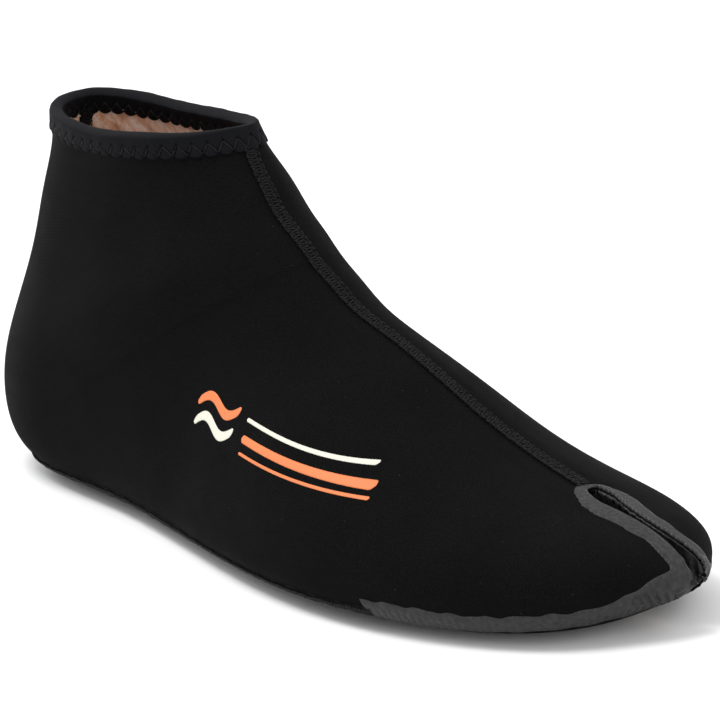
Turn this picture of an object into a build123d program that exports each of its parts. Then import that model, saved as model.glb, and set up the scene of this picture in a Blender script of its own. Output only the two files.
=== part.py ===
from build123d import *
from math import cos, hypot, pi, sin
import os

# A split-toe neoprene boot for the right foot, in millimetres.
# X runs from heel to toe, Y to the medial (big toe) side and Z up; the sole lies flat on Z = 0.
# The boot is one continuous form with a skin of neoprene and a bonded fleece lining. The form is a
# fan of closed sections that swings from the collar, round the heel and ankle, forward to the toes.

# ---- driving dimensions -------------------------------------------------------------------------
ORIGIN_X = 132.5            # the form table's X at the middle of the boot's length
ORIGIN_Y = -2.5             # the form table's Y at the middle of the boot's width

NEOPRENE = 1.5              # skin
LINING = 1.0                # fleece
WALL = NEOPRENE + LINING
BINDING = 0.8               # stretch tape folded over the collar edge
BINDING_HEIGHT = 8.0
THREAD = 0.5                # how far a line of stitching stands proud
SEAL = 0.6                  # liquid rubber along the toe seams
PRINT = 0.2                 # screen print on the lateral panel

SEAM_HALF_WIDTH = 2.3       # flatlock stitching either side of a joint
COLLAR_STITCH = (3.0, 7.0)  # zigzag band, from and to, below the collar edge
SPLIT_SEAL_WIDTH = 5.5      # rubber round the toe split
SEAL_BELOW, SEAL_ABOVE = 3.2, 3.8   # rubber under and over the sole seam
SEAL_START_X = 190.0        # the rubber on the sole seam starts at the ball of the foot

# ---- the form -----------------------------------------------------------------------------------
# Each section: instep point (x, z), heel or sole point (x, z), lateral and medial half widths.
SECTIONS = [
    ((103.5, 119.0), (25.0, 118.5), 27.5, 13.5),
    ((106.5, 110.5), (19.5, 104.0), 25.0, 19.0),
    ((111.5, 103.5), (13.0, 88.5), 25.5, 24.0),
    ((116.0, 97.5), (7.0, 69.5), 27.5, 28.0),
    ((120.0, 93.5), (0.5, 49.5), 31.5, 30.5),
    ((124.5, 90.0), (-2.5, 30.0), 36.0, 33.0),
    ((128.5, 86.5), (2.0, 12.0), 37.5, 35.0),
    ((133.5, 82.0), (16.0, 2.0), 36.5, 36.5),
    ((139.5, 77.5), (41.5, -0.6), 35.5, 36.5),
    ((147.5, 71.5), (72.0, -0.8), 37.0, 37.0),
    ((159.5, 65.5), (107.0, -0.8), 43.5, 39.0),
    ((174.0, 57.0), (142.0, -0.8), 50.0, 43.0),
    ((191.5, 45.5), (175.5, -0.8), 52.0, 44.0),
    ((211.5, 36.5), (204.5, -0.6), 49.0, 43.0),
    ((232.0, 31.5), (229.5, 0.2), 42.5, 38.5),
    ((250.0, 27.5), (249.0, 3.0), 31.5, 28.5),
    ((261.5, 22.5), (259.0, 8.0), 17.5, 15.0),
]
TIP = ((267.5, 15.5), (266.5, 14.5))     # the nose closes here
TIP_HALF_SIZE = 1.6
COLLAR_EXTENSION = 12.0                  # the form runs on above the collar and is cut level
# The same count of values: sideways centre, height of the widest point, upper and lower roundness.
CENTRE_Y = [0.0] * 12 + [1.0, 3.0, 6.0, 9.0, 11.0]
WIDEST = [0.50, 0.50, 0.50, 0.48, 0.46, 0.42, 0.38, 0.36, 0.34, 0.32, 0.32, 0.34, 0.36, 0.38,
          0.40, 0.42, 0.46]
UPPER_POWER = [2.2] * 6 + [2.1] * 6 + [2.2, 2.3, 2.4, 2.4, 2.3]
LOWER_POWER = [2.2] * 4 + [2.3, 2.4, 2.6, 3.0] + [3.5] * 6 + [3.2, 2.8, 2.4]
TIP_CENTRE_Y = 12.0
POINTS_PER_SECTION = 24
FIRST_SPAN = 10                          # two lofts meet at this section, at the instep

# ---- seam lines ---------------------------------------------------------------------------------
INSTEP_SEAM = [(-15, 0), (60, 0), (103, -1), (122, -1), (142, 0.5), (162, 4), (182, 9), (202, 13),
               (216, 13.8), (228, 13)]                       # plan view (x, y)
SOLE_SEAM = [(-15, 5), (120, 5), (200, 5.5), (235, 7), (255, 9), (280, 12)]   # side view (x, z)
# The toe split in plan: (x, centre y, half width). It gapes at the back, closes, then flares.
SPLIT = [(230.5, 12.6, 1.5), (234.0, 12.3, 2.0), (239.0, 12.0, 1.2), (245.0, 12.0, 0.7),
         (254.0, 12.5, 0.7), (261.0, 13.7, 1.1), (266.0, 15.0, 2.4), (272.0, 16.5, 4.4)]
SPLIT_BACK_X = 227.5
# Prints in side view: name, centre line (x, z) and half height.
PRINTS = [
    ("printed_wave_orange", [(114.5, 45.5), (119, 48), (124.5, 46.5), (130, 45), (135.5, 47.5)], 1.3),
    ("printed_wave_white", [(114.5, 40), (119, 42.5), (124.5, 41), (130, 39.5), (135.5, 42)], 1.3),
    ("printed_stripe_upper", [(140, 46.2), (164, 44.4), (188, 42.2)], 0.5),
    ("printed_stripe_middle", [(141, 41.6), (167, 40.0), (192, 37.8)], 1.0),
    ("printed_stripe_lower", [(142, 38.0), (168, 36.8), (193, 35.2)], 0.4),
]

# ---- helpers ------------------------------------------------------------------------------------


def unit(a, b):
    """The direction from a to b."""
    d = hypot(b[0] - a[0], b[1] - a[1])
    return ((b[0] - a[0]) / d, (b[1] - a[1]) / d)


def moved(p, direction, distance):
    return (p[0] + direction[0] * distance, p[1] + direction[1] * distance)


def inset_along(across, before, after, inset):
    """How far to go along across to come in by inset from an edge that runs from before to after."""
    t = unit(before, after)
    return inset / max(abs(across[0] * t[1] - across[1] * t[0]), 0.4)


def section_wire(top, bottom, lateral, medial, centre_y, widest, upper, lower):
    """A closed section: four quarter superellipses through top, both sides and bottom."""
    points = []
    for i in range(POINTS_PER_SECTION):
        angle = 2 * pi * i / POINTS_PER_SECTION
        power = upper if cos(angle) >= 0 else lower
        reach = (abs(sin(angle)) ** power + abs(cos(angle)) ** power) ** (-1 / power)
        across, up = reach * abs(sin(angle)), reach * abs(cos(angle))
        f = widest + (1 - widest) * up if cos(angle) >= 0 else widest - widest * up
        y = centre_y + (across * medial if sin(angle) > 0 else -across * lateral)
        points.append((
            bottom[0] + (top[0] - bottom[0]) * f - ORIGIN_X,
            y - ORIGIN_Y,
            bottom[1] + (top[1] - bottom[1]) * f,
        ))
    knots = [i / POINTS_PER_SECTION for i in range(POINTS_PER_SECTION + 1)]
    return Wire([Edge.make_spline([Vector(*p) for p in points], periodic=True, parameters=knots)])


def form(inset):
    """The boot's whole form, come in by inset on every side (negative stands proud)."""
    count = len(SECTIONS)
    tops = [s[0] for s in SECTIONS] + [TIP[0]]
    bottoms = [s[1] for s in SECTIONS] + [TIP[1]]
    middles = [((t[0] + b[0]) / 2, (t[1] + b[1]) / 2) for t, b in zip(tops, bottoms)]
    wires = []
    for k, (top, bottom, lateral, medial) in enumerate(SECTIONS):
        before, after = max(k - 1, 0), k + 1
        down = unit(top, bottom)
        top_in = moved(top, down, inset_along(down, tops[before], tops[after], inset))
        bottom_in = moved(bottom, down, -inset_along(down, bottoms[before], bottoms[after], inset))
        length = hypot(middles[after][0] - middles[before][0], middles[after][1] - middles[before][1])
        widths = [[s[2 + side] for s in SECTIONS] + [TIP_HALF_SIZE] for side in (0, 1)]
        lateral_in, medial_in = [
            w[k] - inset * hypot(1, (w[after] - w[before]) / length) for w in widths
        ]
        shape = (lateral_in, medial_in, CENTRE_Y[k], WIDEST[k], UPPER_POWER[k], LOWER_POWER[k])
        if k == 0:
            lift = unit(middles[1], middles[0])
            raised = [moved(p, lift, COLLAR_EXTENSION) for p in (top_in, bottom_in)]
            wires.append(section_wire(raised[0], raised[1], *shape))
        wires.append(section_wire(top_in, bottom_in, *shape))
    ahead = unit(middles[count - 1], middles[count])
    nose = moved(middles[count], ahead, -inset)
    wires.append(section_wire(
        (nose[0] + 0.3, nose[1] + TIP_HALF_SIZE), (nose[0] - 0.3, nose[1] - TIP_HALF_SIZE),
        TIP_HALF_SIZE, TIP_HALF_SIZE, TIP_CENTRE_Y, 0.5, 2.2, 2.2,
    ))
    body = Solid.make_loft(wires[:FIRST_SPAN + 1]) + Solid.make_loft(wires[FIRST_SPAN:])
    return body & box((-100, 400), (-200, 200), (inset, 300))


def box(x, y, z):
    """A box between two corners, in the form table's own X and Y."""
    size = [b - a for a, b in (x, y, z)]
    solid = Solid.make_box(*size)
    return solid.moved(Location((x[0] - ORIGIN_X, y[0] - ORIGIN_Y, z[0])))


def plan_prism(outline, low, high):
    """Edges of a closed outline in the XY plane, carried up from low to high."""
    face = Face(Wire(outline)).moved(Location((-ORIGIN_X, -ORIGIN_Y, low)))
    return Solid.extrude(face, Vector(0, 0, high - low))


def side_prism(outline):
    """Edges of a closed outline in the XZ plane, carried right across the boot."""
    face = Face(Wire(outline)).moved(Location((-ORIGIN_X, -200, 0)))
    return Solid.extrude(face, Vector(0, 400, 0))


def closed_band(lower, upper):
    """The outline between two splines that run the same way."""
    a, b = Edge.make_spline(lower), Edge.make_spline(upper)
    return [a, Edge.make_line(lower[-1], upper[-1]), b, Edge.make_line(upper[0], lower[0])]


def below_sole_seam(offset):
    """Everything under the sole seam line, raised by offset."""
    line = [Vector(x, 0, z + offset) for x, z in SOLE_SEAM]
    floor = [Vector(x, 0, -30) for x, _ in (SOLE_SEAM[0], SOLE_SEAM[-1])]
    outline = [Edge.make_spline(line), Edge.make_line(line[-1], floor[1]),
               Edge.make_line(floor[1], floor[0]), Edge.make_line(floor[0], line[0])]
    return side_prism(outline)


def medial_of_seam():
    """Everything on the medial side of the instep and heel seams."""
    line = [Vector(x, y, 0) for x, y in INSTEP_SEAM] + [Vector(x, y, 0) for x, y, _ in SPLIT]
    far = [Vector(line[0].X, 90, 0), Vector(line[-1].X, 90, 0)]
    outline = [Edge.make_spline(line), Edge.make_line(line[-1], far[1]),
               Edge.make_line(far[1], far[0]), Edge.make_line(far[0], line[0])]
    return plan_prism(outline, -30, 200)


def seam_strip(points, half_width):
    """A strip of the plan that follows a seam line."""
    lower = [Vector(x, y - half_width, 0) for x, y in points]
    upper = [Vector(x, y + half_width, 0) for x, y in points]
    return plan_prism(closed_band(lower, upper), -30, 200)


def toe_split(grow):
    """The gap between the toes, from the sole right up, widened by grow."""
    lateral = [Vector(x, y - half - grow, 0) for x, y, half in SPLIT]
    medial = [Vector(x, y + half + grow, 0) for x, y, half in SPLIT]
    back = Vector(SPLIT_BACK_X - grow, SPLIT[0][1], 0)
    outline = [Edge.make_spline(lateral[::-1] + [back] + medial),
               Edge.make_line(medial[-1], lateral[-1])]
    return plan_prism(outline, -30, 90)


def collar_slab(low, high):
    """The space between two heights measured from the collar edge."""
    collar_z = SECTIONS[0][0][1]
    return box((-100, 400), (-200, 200), (collar_z + low, collar_z + high))


def single(shape, name):
    """Checks that a sub-part came out as one solid."""
    solids = shape.solids()
    if len(solids) != 1:
        print(f"{name}: {len(solids)} solids, volumes {[round(s.volume, 2) for s in solids]}")
    return shape


def panels(outer, under_skin, cavity):
    """The neoprene skin and the fleece under it, each cut into sole, medial and lateral panels."""
    trim, below, medial = collar_slab(-300, 0), below_sole_seam(0), medial_of_seam()
    split, split_skin, split_wall = toe_split(0), toe_split(NEOPRENE), toe_split(WALL)
    skin = (outer - under_skin - split_skin) & trim
    fleece = (under_skin - cavity - split_wall) & trim
    parts = {}
    for layer, kind in ((skin, "panel"), (fleece, "lining")):
        upper = layer - below
        parts[f"sole_{kind}"] = layer & below
        parts[f"medial_upper_{kind}"] = upper & medial
        parts[f"lateral_upper_{kind}"] = upper - medial
    parts["toe_split_gusset"] = (outer & split_skin) - split
    parts["toe_split_gusset_lining"] = (under_skin & split_wall) - split_skin
    return parts


def collar(outer, cavity):
    """Stretch tape folded over the collar edge, and the zigzag that holds it, outside and in."""
    face, back = form(-BINDING), form(WALL + BINDING)
    zigzag = collar_slab(-COLLAR_STITCH[1], -COLLAR_STITCH[0])
    folded = (face - back) & collar_slab(-BINDING_HEIGHT, BINDING)
    return {
        "collar_binding": folded - ((outer - cavity) & collar_slab(-300, 0)),
        "collar_stitching_outside": (form(-BINDING - THREAD) - face) & zigzag,
        "collar_stitching_inside": (back - form(WALL + BINDING + THREAD)) & zigzag,
    }


def stitching(outer, cavity):
    """Flatlock thread over the instep, heel and sole joints, outside and in."""
    outside = form(-THREAD) - outer
    inside = cavity - form(WALL + THREAD)
    strip = seam_strip(INSTEP_SEAM, SEAM_HALF_WIDTH) & collar_slab(-300, -BINDING_HEIGHT - 0.2)
    heel = (strip & box((-30, 60), (-20, 20), (0, 200))) - below_sole_seam(SEAM_HALF_WIDTH + 0.2)
    instep = strip & box((60, 300), (-50, 50), (20, 200))
    along_sole = below_sole_seam(SEAM_HALF_WIDTH - 0.5) - below_sole_seam(0.5 - SEAM_HALF_WIDTH)
    sole = outside & along_sole & box((-30, SEAL_START_X), (-90, 90), (0, 30))
    medial = medial_of_seam()
    return {
        "instep_seam_stitching": (outside & instep) - toe_split(SPLIT_SEAL_WIDTH),
        "instep_seam_stitching_inside": (inside & instep) - toe_split(WALL + THREAD),
        "heel_seam_stitching": outside & heel,
        "heel_seam_stitching_inside": inside & heel,
        "medial_sole_seam_stitching": sole & medial,
        "lateral_sole_seam_stitching": sole - medial,
    }


def seals(outer):
    """Liquid rubber round the toe split and along the sole seam at the toes."""
    rubber = form(-SEAL) - outer - toe_split(0)
    over = below_sole_seam(SEAL_ABOVE)
    along_sole = over - below_sole_seam(-SEAL_BELOW)
    toe = rubber & along_sole & box((SEAL_START_X, 300), (-90, 90), (0, 40))
    medial = medial_of_seam()
    return {
        "toe_split_seal": (rubber & toe_split(SPLIT_SEAL_WIDTH)) - over,
        "medial_toe_seal": toe & medial,
        "lateral_toe_seal": toe - medial,
    }


def printed_marks(outer):
    """Two plain waves and three plain stripes, screen printed on the lateral panel."""
    ink = form(-PRINT) - outer
    marks = {}
    for name, centre_line, half_height in PRINTS:
        lower = [Vector(x, 0, z - half_height) for x, z in centre_line]
        upper = [Vector(x, 0, z + half_height) for x, z in centre_line]
        marks[name] = ink & side_prism(closed_band(lower, upper)) & box((0, 300), (-90, -5), (0, 90))
    return marks


def build():
    outer, under_skin, cavity = form(0), form(NEOPRENE), form(WALL)
    return (
        panels(outer, under_skin, cavity)
        | collar(outer, cavity)
        | stitching(outer, cavity)
        | seals(outer)
        | printed_marks(outer)
    )


if __name__ == "__main__":
    os.makedirs("parts", exist_ok=True)
    for name, shape in build().items():
        export_step(single(shape, name), f"parts/{name}.step")
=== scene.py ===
import math

import bpy
import numpy as np
from mathutils import Matrix, Vector
from mathutils.bvhtree import BVHTree
from mathutils.kdtree import KDTree


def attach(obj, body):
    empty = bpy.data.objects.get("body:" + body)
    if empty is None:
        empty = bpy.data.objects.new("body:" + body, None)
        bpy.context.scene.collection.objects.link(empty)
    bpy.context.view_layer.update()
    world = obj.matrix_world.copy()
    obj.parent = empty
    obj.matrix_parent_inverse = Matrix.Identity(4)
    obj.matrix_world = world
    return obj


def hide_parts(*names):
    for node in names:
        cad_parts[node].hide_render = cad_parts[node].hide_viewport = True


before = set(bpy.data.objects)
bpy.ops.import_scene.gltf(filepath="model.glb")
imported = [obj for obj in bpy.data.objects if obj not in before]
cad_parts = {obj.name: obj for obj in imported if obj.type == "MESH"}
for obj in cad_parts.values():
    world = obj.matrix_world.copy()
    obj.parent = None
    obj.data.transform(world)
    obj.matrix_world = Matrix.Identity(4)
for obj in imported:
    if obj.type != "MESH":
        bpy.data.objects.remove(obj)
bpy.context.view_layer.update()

# A split-toe neoprene boot. Lengths in this script are millimetres in the form table's own frame
# (X from the heel), and every mesh is turned into metres in the part's frame as it is made.

MM = 0.001
ORIGIN = np.array([132.5, -2.5, 0.0])    # the part's origin in the form table's frame
NEOPRENE, LINING = 1.5, 1.0
WALL = NEOPRENE + LINING
RIM_Z = 119.0                            # the collar edge of the panels
COLLAR_SAG = 2.2                         # how far that edge dips between its front and back
BINDING_DEPTH = 6.0                      # how far the folded tape reaches below the edge
FLATLOCK_HALF_WIDTH, FLATLOCK_HALF_WIDTH_INSIDE = 2.35, 2.6
FLATLOCK_PITCH, SOLE_STITCH_PITCH, ZIGZAG_PITCH = 2.0, 2.2, 4.5
SPLIT_SEAL_WIDTH, SEAL_THICKNESS = 6.0, 0.42
SEAL_START_X = 200.0                     # the rubber on the sole seam starts here
RNG = np.random.default_rng(7)

# ---- the form --------------------------------------------
# The sections and seams are the CAD part's. The split is a little wider than there, and the upper
# power eases over the ankle instead of staying at 2.1.
# instep point (x, z), heel or sole point (x, z), lateral and medial half widths
SECTIONS = [
    ((103.5, 119.0), (25.0, 118.5), 27.5, 13.5),
    ((106.5, 110.5), (19.5, 104.0), 25.0, 19.0),
    ((111.5, 103.5), (13.0, 88.5), 25.5, 24.0),
    ((116.0, 97.5), (7.0, 69.5), 27.5, 28.0),
    ((120.0, 93.5), (0.5, 49.5), 31.5, 30.5),
    ((124.5, 90.0), (-2.5, 30.0), 36.0, 33.0),
    ((128.5, 86.5), (2.0, 12.0), 37.5, 35.0),
    ((133.5, 82.0), (16.0, 2.0), 36.5, 36.5),
    ((139.5, 77.5), (41.5, -0.6), 35.5, 36.5),
    ((147.5, 71.5), (72.0, -0.8), 37.0, 37.0),
    ((159.5, 65.5), (107.0, -0.8), 43.5, 39.0),
    ((174.0, 57.0), (142.0, -0.8), 50.0, 43.0),
    ((191.5, 45.5), (175.5, -0.8), 52.0, 44.0),
    ((211.5, 36.5), (204.5, -0.6), 49.0, 43.0),
    ((232.0, 31.5), (229.5, 0.2), 42.5, 38.5),
    ((250.0, 27.5), (249.0, 3.0), 31.5, 28.5),
    ((261.5, 22.5), (259.0, 8.0), 17.5, 15.0),
]
TIP = (267.3, 15.0)                      # the nose closes at this point (x, z)
CENTRE_Y = [0.0] * 12 + [1.0, 3.0, 6.0, 9.0, 11.0, 12.0]
WIDEST = [0.50, 0.50, 0.50, 0.48, 0.46, 0.42, 0.38, 0.36, 0.34, 0.32, 0.32, 0.34, 0.36, 0.38,
          0.40, 0.42, 0.46, 0.50]
UPPER_POWER = [2.2] * 6 + [2.18, 2.16, 2.14, 2.12, 2.1, 2.1, 2.2, 2.3, 2.4, 2.4, 2.3, 2.2]
LOWER_POWER = [2.2] * 4 + [2.3, 2.4, 2.6, 3.0] + [3.5] * 6 + [3.2, 2.8, 2.4, 2.2]
INSTEP_SEAM = [(-15, 0), (60, 0), (103, -1), (122, -1), (142, 0.5), (162, 4), (182, 9), (202, 13),
               (216, 13.8), (228, 13)]
SPLIT = [(230.5, 12.6, 2.3), (234.0, 12.3, 2.8), (239.0, 12.0, 2.0), (245.0, 12.0, 1.2),
         (254.0, 12.5, 1.1), (261.0, 13.7, 2.0), (266.0, 15.0, 3.3), (272.0, 16.5, 5.2)]
SPLIT_BACK_X = 227.5
SOLE_SEAM = [(-15, 5), (120, 5), (200, 5.5), (235, 7), (255, 9), (280, 12)]


class Spline:
    """A natural cubic through values at knots."""

    def __init__(self, knots, values):
        self.x, self.y = np.array(knots, float), np.array(values, float)
        h, n = np.diff(self.x), len(self.x)
        system, right = np.eye(n), np.zeros_like(self.y)
        for i in range(1, n - 1):
            system[i, i - 1:i + 2] = h[i - 1], 2 * (h[i - 1] + h[i]), h[i]
            right[i] = 6 * ((self.y[i + 1] - self.y[i]) / h[i] - (self.y[i] - self.y[i - 1]) / h[i - 1])
        self.m = np.linalg.solve(system, right)

    def __call__(self, at):
        at = np.asarray(at, float)
        k = np.clip(np.searchsorted(self.x, at, side="right") - 1, 0, len(self.x) - 2)
        h = self.x[k + 1] - self.x[k]
        a, b = (self.x[k + 1] - at) / h, (at - self.x[k]) / h
        if self.y.ndim > 1:
            a, b, h = a[..., None], b[..., None], h[..., None]
        bend = ((a**3 - a) * self.m[k] + (b**3 - b) * self.m[k + 1]) * h**2 / 6
        return a * self.y[k] + b * self.y[k + 1] + bend


def bell(distance, width):
    return np.exp(-((distance / width) ** 2))


def form_table():
    """The sections as middle, squared half height, lean and squared half widths, which close round."""
    rows = []
    for (top, bottom, lateral, medial) in SECTIONS:
        dx, dz = top[0] - bottom[0], top[1] - bottom[1]
        rows.append([(top[0] + bottom[0]) / 2, (top[1] + bottom[1]) / 2, (dx * dx + dz * dz) / 4,
                     math.atan2(dz, dx), lateral**2, medial**2])
    rows.append([TIP[0], TIP[1], 0, rows[-1][3], 0, 0])
    return np.column_stack([rows, CENTRE_Y, WIDEST, UPPER_POWER, LOWER_POWER])


FORM = Spline(range(len(SECTIONS) + 1), form_table())
LAST = float(len(SECTIONS))
seam_y = Spline([p[0] for p in INSTEP_SEAM] + [p[0] for p in SPLIT],
                [p[1] for p in INSTEP_SEAM] + [p[1] for p in SPLIT])
seam_z = Spline([p[0] for p in SOLE_SEAM], [p[1] for p in SOLE_SEAM])
split_width = Spline([p[0] for p in SPLIT], [p[2] for p in SPLIT])


def split_half(x, grow=0.0):
    """Half the width of the toe split at x: none behind its round back end."""
    first = SPLIT[0][0]
    back = (first - x) / (first - SPLIT_BACK_X + grow)
    rounded = (SPLIT[0][2] + grow) * np.sqrt(np.clip(1 - back**2, 0, 1))
    return np.where(x < first, rounded, split_width(np.maximum(x, first)) + grow)


def collar_sag(p):
    """How far the collar dips between its front and its back."""
    middle = np.clip(np.sin(math.pi * (p[..., 0] - 22) / 84), 0, 1) ** 1.4
    return COLLAR_SAG * middle * np.clip((p[..., 2] - 97) / 20, 0, 1) ** 1.5


def soft_floor(z):
    """Heights eased to zero where they would be below the ground."""
    return (z + np.sqrt(z * z + 0.16)) / 2


def form_point(u, phi):
    """Points of the bare form: u runs from the collar (0) to the nose, phi round a section from the top."""
    mx, mz, h2, lean, lat2, med2, cy, widest, upper, lower = np.moveaxis(FORM(u), -1, 0)
    over = np.cos(phi) >= 0
    power = np.where(over, upper, lower)
    s, c = np.abs(np.sin(phi)), np.abs(np.cos(phi))
    reach = (s**power + c**power) ** (-1 / power)
    across, rise = reach * s, reach * c
    f = np.where(over, widest + (1 - widest) * rise, widest * (1 - rise))
    along = (2 * f - 1) * np.sqrt(np.maximum(h2, 0))
    width = np.sqrt(np.maximum(np.where(np.sin(phi) > 0, med2, lat2), 0))
    y = cy + np.sign(np.sin(phi)) * across * width
    p = np.stack([mx + along * np.cos(lean), y, soft_floor(mz + along * np.sin(lean))], -1)
    p[..., 2] -= collar_sag(p)
    return p


def form_normal(u, phi, step=2e-3):
    """Unit normals of the bare form, outward."""
    lo, hi = np.clip(u - step, 0, LAST), np.clip(u + step, 0, LAST)
    a = form_point(hi, phi) - form_point(lo, phi)
    b = form_point(u, phi + step) - form_point(u, phi - step)
    n = np.cross(a, b)
    return n / np.maximum(np.linalg.norm(n, axis=-1, keepdims=True), 1e-9)


def gentle(p, size):
    """A smooth unevenness from -1 to 1 that repeats over a few sizes."""
    x, y, z = (p[..., i] / size for i in range(3))
    return (np.sin(1.7 * x + 1.3 * np.sin(0.9 * z + 0.6)) * np.sin(1.3 * z + 0.8 * np.sin(1.1 * x + y))
            + 0.5 * np.sin(2.9 * x + 2.1 * z + 1.9 * y + 1.0))


def relief(p):
    """How far the skin stands off the bare form: soft unevenness, and a valley along each seam."""
    x, y, z = p[..., 0], p[..., 1], p[..., 2]
    to_seam = np.abs(y - seam_y(x))
    top = np.where(x > 60, (z > 20) * (x < SPLIT_BACK_X), x < 30)
    valley, puff = bell(to_seam, 3.4) * top, bell(to_seam - 6.5, 3.0) * top
    sole = bell(z - seam_z(x), 3.0)
    waves = 0.16 * gentle(p, 30.0) * np.clip(z / 12, 0, 1)
    return (waves - 0.4 * valley - 0.3 * sole + 0.15 * puff) * np.clip((RIM_Z - 5 - z) / 6, 0, 1)


def skin_point(u, phi, offset=0.0):
    """A point of the finished outer skin, or of a layer offset from it (negative is inward)."""
    p = form_point(u, phi)
    raised = p + form_normal(u, phi) * (relief(p) + offset)[..., None]
    raised[..., 2] = np.maximum(raised[..., 2], max(0.0, -offset) if np.isscalar(offset) else 0)
    return raised


def crossing(low, high, value):
    """Where value turns from negative, at low, to positive, at high."""
    for _ in range(36):
        middle = (low + high) / 2
        negative = value(middle) < 0
        low, high = np.where(negative, middle, low), np.where(negative, high, middle)
    return (low + high) / 2


def half_angles(u, side, grow=0.0):
    """Section angles of one half: at the seam or split on top, at the sole seam, and under the sole."""
    def inside(turn):
        p = form_point(u, side * turn)
        return side * (p[..., 1] - seam_y(p[..., 0])) - split_half(p[..., 0], grow)

    def under(turn):
        p = form_point(u, side * turn)
        return seam_z(p[..., 0]) - p[..., 2]

    quarter = np.full(u.shape, math.pi / 2)
    top, bottom = crossing(-quarter, quarter, inside), crossing(3 * quarter, quarter, inside)
    return top, crossing(top, bottom, under), bottom


def lobe_end(side, grow=0.0):
    """The last u at which this half still has anything beside the split."""
    def outside(u):
        p = form_point(u, np.full(u.shape, side * math.pi / 2))
        return split_half(p[..., 0], grow) - side * (p[..., 1] - seam_y(p[..., 0]))

    return float(crossing(np.array([15.0]), np.array([LAST]), outside)[0])


def sole_start(side):
    """The first u at which a section reaches down past the sole seam, at the back of the heel."""
    def below(u):
        p = form_point(u, np.full(u.shape, side * math.pi))
        return seam_z(p[..., 0]) - p[..., 2]

    return float(crossing(np.array([5.0]), np.array([8.0]), below)[0]) + 1e-3


def stations(side, count, grow=0.0, start=0.0):
    """Values of u from the collar to the end of a toe lobe, closer together where it closes."""
    end, bend, heel = lobe_end(side, grow) - 1e-4, 15.0, sole_start(side)
    share = min(max((heel - start) / (bend - start), 0.0), 0.9)
    leg = np.linspace(start, heel, int(count * 0.86 * share), endpoint=False)
    s = np.linspace(0, 1, int(count * 0.86 * (1 - share)), endpoint=False)
    foot = max(heel, start) + (bend - max(heel, start)) * s * s * 1.15 / (s + 0.15)
    closing = bend + (end - bend) * np.sin(np.linspace(0, math.pi / 2, int(count * 0.14)))
    return np.concatenate([leg, foot, closing])


# ---- meshes ----------------------------------------------


def to_part(p):
    """From the form table's frame to metres in the part's frame."""
    return (np.asarray(p) - ORIGIN) * MM


def from_part(p):
    return p / MM + ORIGIN


def make(name, verts, faces, material, uv=None):
    mesh = bpy.data.meshes.new(name)
    mesh.from_pydata(to_part(verts).tolist(), [], [tuple(map(int, f)) for f in faces])
    mesh.polygons.foreach_set("use_smooth", [True] * len(mesh.polygons))
    if uv is not None:
        layer = mesh.uv_layers.new(name="cloth")
        index = np.zeros(len(mesh.loops), int)
        mesh.loops.foreach_get("vertex_index", index)
        layer.data.foreach_set("uv", np.asarray(uv)[index].ravel())
    mesh.materials.append(material)
    mesh.update()
    obj = bpy.data.objects.new(name, mesh)
    bpy.context.scene.collection.objects.link(obj)
    return obj


def grid_faces(rows, columns, flip=False, wrap_rows=False, wrap_columns=False):
    r, c = rows if wrap_rows else rows - 1, columns if wrap_columns else columns - 1
    i, j = np.meshgrid(np.arange(r), np.arange(c), indexing="ij")
    i2, j2 = (i + 1) % rows, (j + 1) % columns
    quads = np.stack([i * columns + j, i * columns + j2, i2 * columns + j2, i2 * columns + j], -1)
    quads = quads.reshape(-1, 4)
    return quads[:, ::-1] if flip else quads


def lengths(points, axis):
    """How far each point is along its line, with lines running along an axis of the array."""
    step = np.linalg.norm(np.diff(points, axis=axis), axis=-1)
    zero = np.zeros_like(np.take(step, [0], axis=axis))
    return np.concatenate([zero, np.cumsum(step, axis=axis)], axis=axis)


def cloth_uv(points):
    """Millimetres along and across a grid of points, so that a weave keeps its scale."""
    along, across = lengths(points, 0), lengths(points, 1)
    middle = along[:, along.shape[1] // 2:along.shape[1] // 2 + 1]
    return np.stack([np.broadcast_to(middle, across.shape), across], -1).reshape(-1, 2)


def make_grid(name, grid, material, flip=False):
    """A mesh over a grid of points, with its cloth coordinates."""
    faces = grid_faces(*grid.shape[:2], flip=flip)
    return make(name, grid.reshape(-1, 3), faces, material, uv=cloth_uv(grid))


def joined(pieces):
    """Several (verts, faces) lists as one."""
    verts, faces, count = [], [], 0
    for v, f in pieces:
        verts.append(np.asarray(v).reshape(-1, 3))
        faces += [tuple(int(i) + count for i in face) for face in f]
        count += len(verts[-1])
    return np.concatenate(verts), faces


def weld(obj, distance=0.02 * MM):
    modifier = obj.modifiers.new("weld", "WELD")
    modifier.merge_threshold = distance
    return obj


def thicken(obj, thickness):
    modifier = obj.modifiers.new("thickness", "SOLIDIFY")
    modifier.thickness = thickness * MM
    modifier.offset = -1
    modifier.use_rim = True
    return obj


def panel_angles(u, side, part, rows, grow=0.0):
    """Form coordinates over one half's upper or sole panel: a row for each u, evenly across it."""
    top, seam, bottom = half_angles(u, side, grow)
    first, last = (top, seam) if part == "upper" else (seam, bottom)
    t = np.linspace(0, 1, rows)[None]
    turn = first[:, None] * (1 - t) + last[:, None] * t
    return np.broadcast_to(u[:, None], turn.shape), side * turn


def half_grid(side, part, count, rows, offset=0.0, grow=0.0):
    """A grid of points over one half's upper or sole panel."""
    u = stations(side, count, grow, 0.0 if part == "upper" else sole_start(side))
    return skin_point(*panel_angles(u, side, part, rows, grow), offset)


def tree_of(*objects):
    """A search tree over the faces of some meshes."""
    verts, faces, count = [], [], 0
    for o in objects:
        verts += [v.co.copy() for v in o.data.vertices]
        faces += [tuple(i + count for i in p.vertices) for p in o.data.polygons]
        count = len(verts)
    return BVHTree.FromPolygons(verts, faces)


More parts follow.
